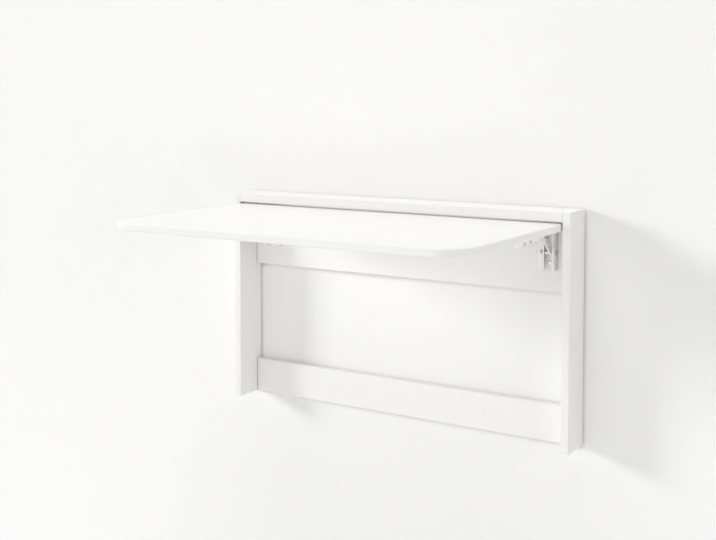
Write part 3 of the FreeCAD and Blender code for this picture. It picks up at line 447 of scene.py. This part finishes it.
def moulded(name, colour):
    """Moulded white plastic with a fine matt skin."""
    material, tree, shader = new_material(name)
    drift = place(tree, TONE_DRIFT, Color=colour, Broad_Scale=50.0, Patch_Scale=400.0, Amount=0.03)
    worn = (colour[0] * 0.9, colour[1] * 0.9, colour[2] * 0.88, 1)
    coat_edges(tree, shader, drift.outputs["Color"], worn, 0.3 * MM, 500.0, 0.5)
    wear = place(tree, HANDLING, Roughness=0.42, Spread=0.16, Patch_Scale=160.0)
    tree.links.new(wear.outputs["Roughness"], shader.inputs["Roughness"])
    skin = place(tree, SKIN_RELIEF, Pebble_Scale=2600.0, Grain_Scale=7000.0, Grain_Share=0.5)
    set_relief(tree, shader, skin.outputs["Height"], 0.02 * MM, 0.3 * MM)
    shader.inputs["Subsurface Weight"].default_value = 0.08
    shader.inputs["Subsurface Radius"].default_value = (0.9, 0.8, 0.7)
    shader.inputs["Subsurface Scale"].default_value = 0.6 * MM
    return material


def beech_wood(name):
    """Beech along the local X axis: straight grain with short dark flecks."""
    material, tree, shader = new_material(name)
    coords = object_coords(tree)
    stretch = add(tree, "ShaderNodeMapping", {"Vector": coords, "Scale": (0.06, 1.0, 1.0)})
    grain = noise(tree, stretch.outputs["Vector"], 900.0, 5.0, 0.6)
    short = add(tree, "ShaderNodeMapping", {"Vector": coords, "Scale": (0.25, 1.0, 1.0)})
    flecks = remap(tree, noise(tree, short.outputs["Vector"], 2400.0, 1.0), 0.60, 0.68)
    light = remap(tree, grain, 0.3, 0.7)
    tone = mix_colours(tree, light, (0.60, 0.40, 0.24, 1), (0.74, 0.54, 0.36, 1))
    flecked = mix_colours(tree, maths(tree, "MULTIPLY", flecks, 0.6), tone, (0.38, 0.22, 0.12, 1))
    coat_edges(tree, shader, flecked, (0.8, 0.62, 0.44, 1), 0.3 * MM, 500.0, 0.6)
    tree.links.new(remap(tree, grain, 0.2, 0.8, 0.75, 0.6), shader.inputs["Roughness"])
    set_relief(tree, shader, grain, 0.06 * MM, 0.25 * MM)
    return material


FINISHES = {
    "frame_lacquer": lacquer("frame white lacquer", (0.875, 0.87, 0.852, 1), 0.44, 0.012 * MM),
    "leaf_lacquer": lacquer("leaf white lacquer", (0.88, 0.877, 0.865, 1), 0.38, 0.010 * MM),
    "white_powder_coat": powder_coat("white powder coat", (0.92, 0.915, 0.90, 1)),
    "pin_steel": steel("turned pin steel", (0.60, 0.60, 0.59, 1), 0.36, (0.76, 0.76, 0.75, 1),
                       9000.0, 0.006 * MM),
    "plated_steel": steel("zinc plated steel", (0.70, 0.70, 0.69, 1), 0.34, (0.80, 0.80, 0.79, 1),
                          5000.0, 0.004 * MM),
    "spring_steel": strip_steel("spring strip"),
    "zinc_casting": cast_zinc("cast zinc"),
    "white_nylon": moulded("white nylon", (0.885, 0.88, 0.862, 1)),
    "beech": beech_wood("beech"),
}


# ---------------------------------------------------------------- mesh helpers

def in_scene(name, data):
    """Object made from a mesh, lamp or camera and put in the scene."""
    made = bpy.data.objects.new(name, data)
    bpy.context.scene.collection.objects.link(made)
    return made


def mesh_from(name, bm):
    """Mesh of a finished bmesh, its faces turned outwards."""
    bmesh.ops.recalc_face_normals(bm, faces=bm.faces)
    mesh = bpy.data.meshes.new(name)
    bm.to_mesh(mesh)
    bm.free()
    return mesh


def new_piece(name, mesh, slot):
    """Piece in the finish of its slot, shaded smooth up to its sharp edges."""
    piece = in_scene(name, mesh)
    for face in mesh.polygons:
        face.use_smooth = True
    mesh.set_sharp_from_angle(angle=radians(SHARP_ANGLE))
    mesh.materials.clear()
    mesh.materials.append(FINISHES[slot])
    return piece


def turned(rings, segments=48):
    """Bmesh of a turned solid about the local X axis.

    A ring is (place along X, radius), where the radius may be a function of the angle.
    The first and last rings are closed with a flat fan.
    """
    bm = bmesh.new()
    loops = []
    for along, radius in rings:
        loop = []
        for i in range(segments):
            angle = 2 * pi * i / segments
            r = radius(angle) if callable(radius) else radius
            loop.append(bm.verts.new((along, r * cos(angle), r * sin(angle))))
        loops.append(loop)
    for near, far in zip(loops, loops[1:]):
        for i in range(segments):
            j = (i + 1) % segments
            bm.faces.new((near[i], near[j], far[j], far[i]))
    for loop, along in ((loops[0], rings[0][0]), (loops[-1], rings[-1][0])):
        centre = bm.verts.new((along, 0, 0))
        for i in range(segments):
            bm.faces.new((loop[i], loop[(i + 1) % segments], centre))
    return bm


def arc(centre, radius, start, end, steps):
    """Points (along, radius) on a round stretch of a profile, by angles in degrees."""
    points = []
    for i in range(steps + 1):
        angle = radians(start + (end - start) * i / steps)
        points.append((centre[0] + radius * cos(angle), centre[1] + radius * sin(angle)))
    return points


def solids(node):
    """Lowest and highest corner of each separate solid in a CAD node, from left to right and up."""
    bm = bmesh.new()
    bm.from_mesh(frame["nodes"][node].data)
    bmesh.ops.remove_doubles(bm, verts=bm.verts, dist=0.005 * MM)
    waiting = set(bm.verts)
    found = []
    while waiting:
        seeds = [waiting.pop()]
        group = list(seeds)
        while seeds:
            for edge in seeds.pop().link_edges:
                for vert in edge.verts:
                    if vert in waiting:
                        waiting.remove(vert)
                        seeds.append(vert)
                        group.append(vert)
        low = Vector(min(v.co[i] for v in group) for i in range(3))
        high = Vector(max(v.co[i] for v in group) for i in range(3))
        found.append((low, high))
    bm.free()
    return sorted(found, key=lambda pair: tuple(round(c, 4) for c in pair[0]))


def aim(direction):
    """Rotation that turns local X to a direction."""
    return Vector((1, 0, 0)).rotation_difference(Vector(direction)).to_matrix().to_4x4()


def threaded(start, length, crest, core, pitch):
    """Rings of a screw thread along X, faded in at both ends."""
    count = round(length / pitch * THREAD_STEPS)

    def ring(i):
        fade = min(1, i / THREAD_STEPS, (count - i) / THREAD_STEPS)

        def radius(angle):
            turn = (i / THREAD_STEPS - angle / (2 * pi)) % 1
            ridge = max(0, 1 - abs(turn - 0.5) * 4)
            return core + (crest - core) * ridge * fade
        return start + length * i / count, radius
    return [ring(i) for i in range(count + 1)]


# ---------------------------------------------------------------- screws

def cross_bit():
    """Tapered cross that cuts the drive recess, pointing along -X from the head's top."""
    mouth = (SCREW_HEAD_HEIGHT * 1.1, RECESS_REACH * 1.1, RECESS_WIDTH)
    bottom = (SCREW_HEAD_HEIGHT - RECESS_DEPTH, RECESS_REACH * 0.35, RECESS_WIDTH * 0.7)
    sides = ((0, 1, 2, 3), (7, 6, 5, 4), (0, 4, 5, 1), (1, 5, 6, 2), (2, 6, 7, 3), (3, 7, 4, 0))
    bm = bmesh.new()
    for turn in (0, pi / 2):
        corners = []
        for x, reach, width in (mouth, bottom):
            for side, lift in ((-1, -1), (1, -1), (1, 1), (-1, 1)):
                corners.append(bm.verts.new((x, side * reach, lift * width / 2)))
        for quad in sides:
            bm.faces.new([corners[k] for k in quad])
        bmesh.ops.rotate(bm, verts=corners, matrix=Matrix.Rotation(turn, 3, "X"))
    return in_scene("cross bit", mesh_from("cross bit", bm))


def screw_mesh():
    """Pan-head wood screw along X: the head's underside at 0, its top at plus, the tip at minus."""
    top, rim, shoulder = SCREW_HEAD_HEIGHT, SCREW_HEAD_RIM, SCREW_SHOULDER
    rings = [(-SCREW_GRIP - SCREW_TIP, 0.15 * MM),
             (-SCREW_GRIP - SCREW_TIP * 0.5, SCREW_CORE_RADIUS * 0.6)]
    rings += threaded(-SCREW_GRIP, SCREW_GRIP - SCREW_RUN_OUT, SCREW_SHANK_RADIUS,
                      SCREW_CORE_RADIUS, SCREW_PITCH)
    rings += [(-SCREW_NECK, SCREW_NECK_RADIUS), (0, SCREW_NECK_RADIUS)]
    rings += [(0, SCREW_HEAD_RADIUS - rim)]
    rings += arc((rim, SCREW_HEAD_RADIUS - rim), rim, 180, 90, 3)[1:]
    rings += arc((top - shoulder, SCREW_HEAD_RADIUS - shoulder), shoulder, 88, 4, 8)
    rings += [(top, SCREW_HEAD_RADIUS - shoulder * 1.15), (top, 0.6 * MM)]
    blank = in_scene("screw blank", mesh_from("screw", turned(rings, 32)))
    bit = cross_bit()
    cut = blank.modifiers.new("recess", "BOOLEAN")
    cut.object = bit
    cut.operation = "DIFFERENCE"
    cut.solver = "EXACT"
    cut.use_self = True
    depsgraph = bpy.context.evaluated_depsgraph_get()
    finished = bpy.data.meshes.new_from_object(blank.evaluated_get(depsgraph))
    for helper in (blank, bit):
        bpy.data.objects.remove(helper)
    return finished


def screws(node, body, pointing):
    """A dressed screw in place of each screw of a CAD node, its head facing a direction."""
    made = screw_mesh()
    along = Vector(pointing)
    for count, (low, high) in enumerate(solids(node), 1):
        reach = abs((high - low).dot(along)) / 2
        under_head = (low + high) / 2 + along * (reach - SCREW_HEAD_HEIGHT)
        turn = Matrix.Rotation(radians(25 * count), 4, "X")
        piece = new_piece(f"{node[:-1]}_{count}", made.copy(), "plated_steel")
        piece.matrix_world = Matrix.Translation(under_head) @ aim(pointing) @ turn
        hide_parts(node)
        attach(piece, body)


# ---------------------------------------------------------------- fittings of the boards

def cover_caps():
    """Crowned caps with a pry notch, pressed into the recesses over the wall screws."""
    top = CAP_THICKNESS
    flat = CAP_RADIUS - CAP_EDGE
    places = [(x, z) for z in (UPPER_HOLE_Z, LOWER_HOLE_Z) for x in (-WALL_HOLE_X, WALL_HOLE_X)]
    for count, (x, z) in enumerate(places, 1):
        rings = [(0, flat)]
        rings += arc((CAP_EDGE, flat), CAP_EDGE, 180, 90, 3)[1:]
        rings += arc((top - CAP_EDGE, flat), CAP_EDGE, 90, 10, 5)
        for i in range(1, 8):
            share = i / 8
            lift = CAP_CROWN * (1 - (1 - share) ** 2)
            rings.append((top + lift, flat * (1 - share)))
        bm = turned(rings, 64)
        for vert in bm.verts:
            angle = atan2(vert.co.z, vert.co.y)
            away = abs(angle + pi / 2) * CAP_RADIUS
            edge = vert.co.yz.length > CAP_RADIUS - CAP_NOTCH_DEPTH and vert.co.x > top / 2
            if edge and away < CAP_NOTCH_WIDTH / 2:
                vert.co.x = min(vert.co.x, top - CAP_EDGE * 1.2)
        name = f"cover_cap_{count}"
        piece = new_piece(name, mesh_from(name, bm), "white_nylon")
        piece.matrix_world = Matrix.Translation((x, -CAP_SEAT_OUT, z)) @ aim((0, -1, 0))
        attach(piece, "frame")


def fluted_dowels(node):
    """Dowels with chamfered ends and straight flutes in place of a CAD node's plain ones."""
    for count, (low, high) in enumerate(solids(node), 1):
        size = high - low
        axis = max(range(3), key=lambda i: size[i])
        length = size[axis]
        radius = size[(axis + 1) % 3] / 2

        def fluted(angle, base=radius):
            wave = 0.5 + 0.5 * cos(DOWEL_FLUTES * angle)
            return base - FLUTE_DEPTH * (1 - wave) ** 2
        tip = radius - DOWEL_CHAMFER * 0.6
        end = length / 2
        rings = [(-end, tip * 0.5), (-end, tip), (-end + DOWEL_CHAMFER, fluted), (0, fluted),
                 (end - DOWEL_CHAMFER, fluted), (end, tip), (end, tip * 0.5)]
        direction = [0, 0, 0]
        direction[axis] = 1
        name = f"{node[:-1]}_{count}"
        piece = new_piece(name, mesh_from(name, turned(rings, 96)), "beech")
        piece.matrix_world = Matrix.Translation((low + high) / 2) @ aim(direction)
        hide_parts(node)
        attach(piece, "frame")


def cam_bolts():
    """Bolts with a round head for the cam to draw on, a neck and a coarse thread in the stile."""
    head, neck, thread = BOLT_HEAD_RADIUS, BOLT_NECK_RADIUS, BOLT_THREAD_RADIUS
    for count, (low, high) in enumerate(solids("cam_bolts"), 1):
        side = 1 if low.x > 0 else -1
        length = high.x - low.x
        start = length - BOLT_THREAD_LENGTH
        collar = start - BOLT_COLLAR_BACK
        rings = [(0, head - BOLT_CHAMFER), (BOLT_CHAMFER_RISE, head),
                 (BOLT_HEAD_LENGTH - BOLT_CHAMFER_RISE, head),
                 (BOLT_HEAD_LENGTH, head - BOLT_CHAMFER), (BOLT_HEAD_LENGTH, neck), (collar, neck),
                 (collar, thread), (collar + BOLT_COLLAR, thread), (start, BOLT_THREAD_CORE)]
        rings += threaded(start, BOLT_THREAD_LENGTH - BOLT_CHAMFER, thread, BOLT_THREAD_CORE,
                          BOLT_PITCH)[1:]
        rings += [(length, BOLT_THREAD_CORE - BOLT_CHAMFER_RISE)]
        middle = (low + high) / 2
        head_end = Vector((low.x if side > 0 else high.x, middle.y, middle.z))
        name = f"cam_bolt_{count}"
        piece = new_piece(name, mesh_from(name, turned(rings, 32)), "plated_steel")
        piece.matrix_world = Matrix.Translation(head_end) @ aim((side, 0, 0))
        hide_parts("cam_bolts")
        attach(piece, "frame")


def pivot_pins():
    """Hardened pins on which the leaf turns, ground smooth with rounded ends."""
    nose = PIVOT_PIN_NOSE
    for count, (low, high) in enumerate(solids("pivot_pins"), 1):
        end = (high.x - low.x) / 2
        radius = (high.z - low.z) / 2
        rings = [(-end, radius * 0.3)]
        rings += arc((-end + nose, radius - nose), nose, 180, 90, 4)
        rings += arc((end - nose, radius - nose), nose, 90, 0, 4)
        rings += [(end, radius * 0.3)]
        name = f"pivot_pin_{count}"
        piece = new_piece(name, mesh_from(name, turned(rings)), "pin_steel")
        piece.matrix_world = Matrix.Translation((low + high) / 2)
        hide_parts("pivot_pins")
        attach(piece, "frame")


# ---------------------------------------------------------------- pins and rivets of the brackets

def domed_end(face, thickness, radius, way):
    """Profile of a domed head from the face it stands on to its crown; way is +1 or -1 along X."""
    edge = thickness * 0.35
    points = [(face, radius - 0.1 * MM), (face + way * edge * 0.4, radius),
              (face + way * edge, radius)]
    crown = thickness - edge
    for i in range(1, 9):
        angle = pi / 2 * i / 9
        points.append((face + way * (edge + crown * sin(angle)), radius * cos(angle)))
    points.append((face + way * thickness, radius * 0.08))
    return points


def flat_end(face, thickness, radius, way):
    """Profile of a flat round head with a small turned bevel and a shallow centre dimple."""
    bevel = 0.35 * MM
    dimple = thickness - 0.25 * MM
    profile = ((0, radius - bevel * 0.5), (bevel * 0.5, radius), (thickness - bevel, radius),
               (thickness, radius - bevel), (thickness, radius * 0.45), (dimple, radius * 0.32),
               (dimple, radius * 0.1))
    return [(face + way * along, wide) for along, wide in profile]


def across(node, body, end, head, shank):
    """Pin or rivet across a channel, in place of its CAD node.

    shank lists (place along X from the middle, radius) from left to right between the heads.
    """
    low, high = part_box(node)
    radius = (high.z - low.z) / 2
    face = (high.x - low.x) / 2 - head
    rings = end(-face, head, radius, -1)[::-1] + shank + end(face, head, radius, 1)
    name = node + "_turned"
    piece = new_piece(name, mesh_from(name, turned(rings)), "pin_steel")
    piece.matrix_world = Matrix.Translation((low + high) / 2)
    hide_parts(node)
    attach(piece, body)


def bracket_pins(side):
    """The two pins and two rivets of one folding bracket."""
    for pin, body, radius in (("foot_pin", "frame", FOOT_PIN_RADIUS),
                              ("slide_pin", side + "_strut", SLIDE_PIN_RADIUS)):
        low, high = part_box(f"{side}_{pin}")
        face = (high.x - low.x) / 2 - PIN_HEAD
        across(f"{side}_{pin}", body, flat_end, PIN_HEAD, [(-face, radius), (face, radius)])
    low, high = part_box(side + "_tie_rivet")
    face = (high.x - low.x) / 2 - RIVET_HEAD
    inner = face - FLANGE
    step = [(-face, TIE_RIVET_RADIUS), (-inner, TIE_RIVET_RADIUS), (-inner, TIE_SHOULDER_RADIUS),
            (inner, TIE_SHOULDER_RADIUS), (inner, TIE_RIVET_RADIUS), (face, TIE_RIVET_RADIUS)]
    across(side + "_tie_rivet", "leaf", domed_end, RIVET_HEAD, step)
    middle = (low.x + high.x) / 2
    lever_low, lever_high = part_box(side + "_lock_lever")
    left = lever_low.x - middle - MOVING_GAP
    right = lever_high.x - middle + MOVING_GAP
    collars = [(-face, LEVER_PIVOT_RADIUS)]
    for x0, x1 in ((left - LEVER_COLLAR, left), (right, right + LEVER_COLLAR)):
        collars += [(x0, LEVER_PIVOT_RADIUS), (x0, LEVER_COLLAR_RADIUS), (x1, LEVER_COLLAR_RADIUS),
                    (x1, LEVER_PIVOT_RADIUS)]
    collars += [(face, LEVER_PIVOT_RADIUS)]
    across(side + "_lever_pivot", "leaf", domed_end, RIVET_HEAD, collars)


def bow_spring(side):
    """Thin strip with two flat feet, bowed down onto the lock lever, which presses it flatter."""
    low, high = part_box(side + "_lever_spring")
    middle = (low + high) / 2
    half = (high - low) / 2
    reach = half.y - SPRING_FOOT
    drop = high.z - low.z - SPRING_THICKNESS
    radius = (reach ** 2 + drop ** 2) / (2 * drop)
    bow = [reach * (2 * i / SPRING_STEPS - 1) for i in range(SPRING_STEPS + 1)]
    bm = bmesh.new()
    rings = []
    for along in [-half.y] + bow + [half.y]:
        sag = (radius ** 2 - min(along ** 2, reach ** 2)) ** 0.5 - (radius - drop)
        top = half.z - sag
        under = top - SPRING_THICKNESS
        corners = ((-half.x, top), (half.x, top), (half.x, under), (-half.x, under))
        rings.append([bm.verts.new((x, along, z)) for x, z in corners])
    for near, far in zip(rings, rings[1:]):
        for i in range(4):
            j = (i + 1) % 4
            bm.faces.new((near[i], near[j], far[j], far[i]))
    bm.faces.new(rings[0])
    bm.faces.new(rings[-1])
    name = side + "_bow_spring"
    piece = new_piece(name, mesh_from(name, bm), "spring_steel")
    piece.matrix_world = Matrix.Translation(middle)
    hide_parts(side + "_lever_spring")
    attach(piece, "leaf")
    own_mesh(piece)


# ---------------------------------------------------------------- carried-over nodes

def dress_nodes():
    """Give every CAD node the finish of its slot in the record."""
    for part in frame["record"]["subparts"]:
        mesh = frame["nodes"][part["node"]].data
        mesh.materials.clear()
        mesh.materials.append(FINISHES[part["material_slot"]])


# ---------------------------------------------------------------- room, light and camera

def stage_plane(name, corners, material):
    """Flat four-cornered surface of the room."""
    mesh = bpy.data.meshes.new(name)
    mesh.from_pydata(corners, [], [(0, 1, 2, 3)])
    mesh.materials.append(material)
    in_scene(name, mesh)


def clear_where(tree, shader, hidden):
    """Clear finish wherever hidden is 1, the shader elsewhere."""
    clear = tree.nodes.new("ShaderNodeBsdfTransparent")
    mix = add(tree, "ShaderNodeMixShader", {0: hidden, 1: shader.outputs[0], 2: clear.outputs[0]})
    end = next(n for n in tree.nodes if n.type == "OUTPUT_MATERIAL")
    tree.links.new(mix.outputs[0], end.inputs["Surface"])


def wall_paint():
    """Rolled white emulsion, with painted shade in its corners, darkest beside the stiles.

    The wall is clear from behind, from close against it and to the lamps.
    """
    material, tree, shader = new_material("wall paint")
    colour = place(tree, TONE_DRIFT, Color=WALL_COLOUR, Broad_Scale=0.7, Patch_Scale=5.0,
                   Amount=0.012)
    facing = tree.nodes.new("ShaderNodeNewGeometry").outputs["Normal"]
    # Painted shade from above: the occlusion normal leans upward, so the wall darkens more under a
    # rail than above it.
    leaning = add(tree, "ShaderNodeVectorMath", {0: facing, 1: (0.5, 0.5, 0.5), 2: (0, 0, 0.87)},
                  operation="MULTIPLY_ADD").outputs[0]
    sideways = add(tree, "ShaderNodeSeparateXYZ", {"Vector": object_coords(tree)}).outputs["X"]
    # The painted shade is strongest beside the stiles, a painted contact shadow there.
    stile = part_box("right_stile")[0].x
    amount = remap(tree, maths(tree, "ABSOLUTE", sideways), stile - 30 * MM, stile - 5 * MM,
                   WALL_SHADE_OPEN, WALL_SHADE_BY_STILE)
    painted_shade = place(tree, PAINTED_CORNER_SHADE, Reach=WALL_SHADE_REACH, Amount=amount, Normal=leaning)
    shaded_colour = mix_colours(tree, painted_shade.outputs["Mask"], colour.outputs["Color"], PAINTED_SHADE_COLOUR)
    tree.links.new(shaded_colour, shader.inputs["Base Color"])
    stipple = place(tree, SKIN_RELIEF, Pebble_Scale=240.0, Grain_Scale=900.0, Grain_Share=0.35)
    bump = add(tree, "ShaderNodeBump", {"Height": stipple.outputs["Height"], "Distance": 0.12 * MM})
    tree.links.new(bump.outputs["Normal"], shader.inputs["Normal"])
    shader.inputs["Roughness"].default_value = 0.85
    shader.inputs["Specular IOR Level"].default_value = 0.2
    behind = tree.nodes.new("ShaderNodeNewGeometry").outputs["Backfacing"]
    path = tree.nodes.new("ShaderNodeLightPath").outputs
    near = maths(tree, "LESS_THAN", path["Ray Length"], WALL_CLEARANCE * 1.5)
    unseen = maths(tree, "MAXIMUM", near, path["Is Shadow Ray"])
    clear_where(tree, shader, maths(tree, "MAXIMUM", behind, unseen))
    return material


def floor_paint():
    """Plain pale floor with a faint tone drift, clear from below."""
    material, tree, shader = new_material("pale floor")
    colour = place(tree, TONE_DRIFT, Color=FLOOR_COLOUR, Broad_Scale=0.8, Patch_Scale=8.0,
                   Amount=0.01)
    tree.links.new(colour.outputs["Color"], shader.inputs["Base Color"])
    shader.inputs["Roughness"].default_value = 0.7
    clear_where(tree, shader, tree.nodes.new("ShaderNodeNewGeometry").outputs["Backfacing"])
    return material


def room():
    """Wall behind the desk and floor below it."""
    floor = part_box("leaf")[1].z - FLOOR_DROP
    reach, back, top = ROOM_REACH, WALL_CLEARANCE, ROOM_RISE
    stage_plane("wall", [(-reach, back, floor), (reach, back, floor), (reach, back, top),
                         (-reach, back, top)], wall_paint())
    stage_plane("floor", [(-reach, -reach, floor), (reach, -reach, floor), (reach, reach, floor),
                          (-reach, reach, floor)], floor_paint())


def soft_light(name, location, target, size, power):
    """Square soft box aimed at a point."""
    data = bpy.data.lights.new(name, "AREA")
    data.shape = "SQUARE"
    data.size = size
    data.energy = power
    lamp = in_scene(name, data)
    lamp.location = location
    aimed = Vector(target) - Vector(location)
    lamp.rotation_euler = aimed.to_track_quat("-Z", "Y").to_euler()


def daylight(level, seen):
    """Even white surroundings: one level for light, another for what the camera and gloss see."""
    world = bpy.data.worlds.new("studio")
    bpy.context.scene.world = world
    world.use_nodes = True
    tree = world.node_tree
    tree.nodes.clear()
    path = tree.nodes.new("ShaderNodeLightPath").outputs
    shown = maths(tree, "MAXIMUM", path["Is Camera Ray"],
                  maths(tree, "MAXIMUM", path["Is Glossy Ray"], path["Is Transmission Ray"]))
    strength = remap(tree, shown, 0.0, 1.0, level, seen)
    light = add(tree, "ShaderNodeBackground", {"Color": (1, 1, 1, 1), "Strength": strength})
    end = tree.nodes.new("ShaderNodeOutputWorld")
    tree.links.new(light.outputs[0], end.inputs["Surface"])


def camera():
    """Camera a little above the leaf, to the right of the desk and turned back to it."""
    data = bpy.data.cameras.new("camera")
    data.sensor_fit = "HORIZONTAL"
    data.sensor_width = CAMERA_SENSOR
    data.lens = CAMERA_LENS
    data.shift_y = CAMERA_SHIFT
    eye = in_scene("camera", data)
    eye.location = CAMERA_PLACE
    eye.rotation_euler = (radians(90 - CAMERA_DIP), 0, radians(CAMERA_TURN))
    bpy.context.scene.camera = eye


dress_nodes()
screws("leg_screws", "frame", (0, -1, 0))
screws("arm_screws", "leaf", (0, 0, -1))
cover_caps()
fluted_dowels("end_dowels")
fluted_dowels("top_board_dowels")
cam_bolts()
pivot_pins()
for side in ("left", "right"):
    bracket_pins(side)
    bow_spring(side)

room()
for lamp in LAMPS:
    soft_light(*lamp)
daylight(DAYLIGHT, BACKGROUND)
camera()
bpy.context.scene.view_settings.view_transform = "Standard"
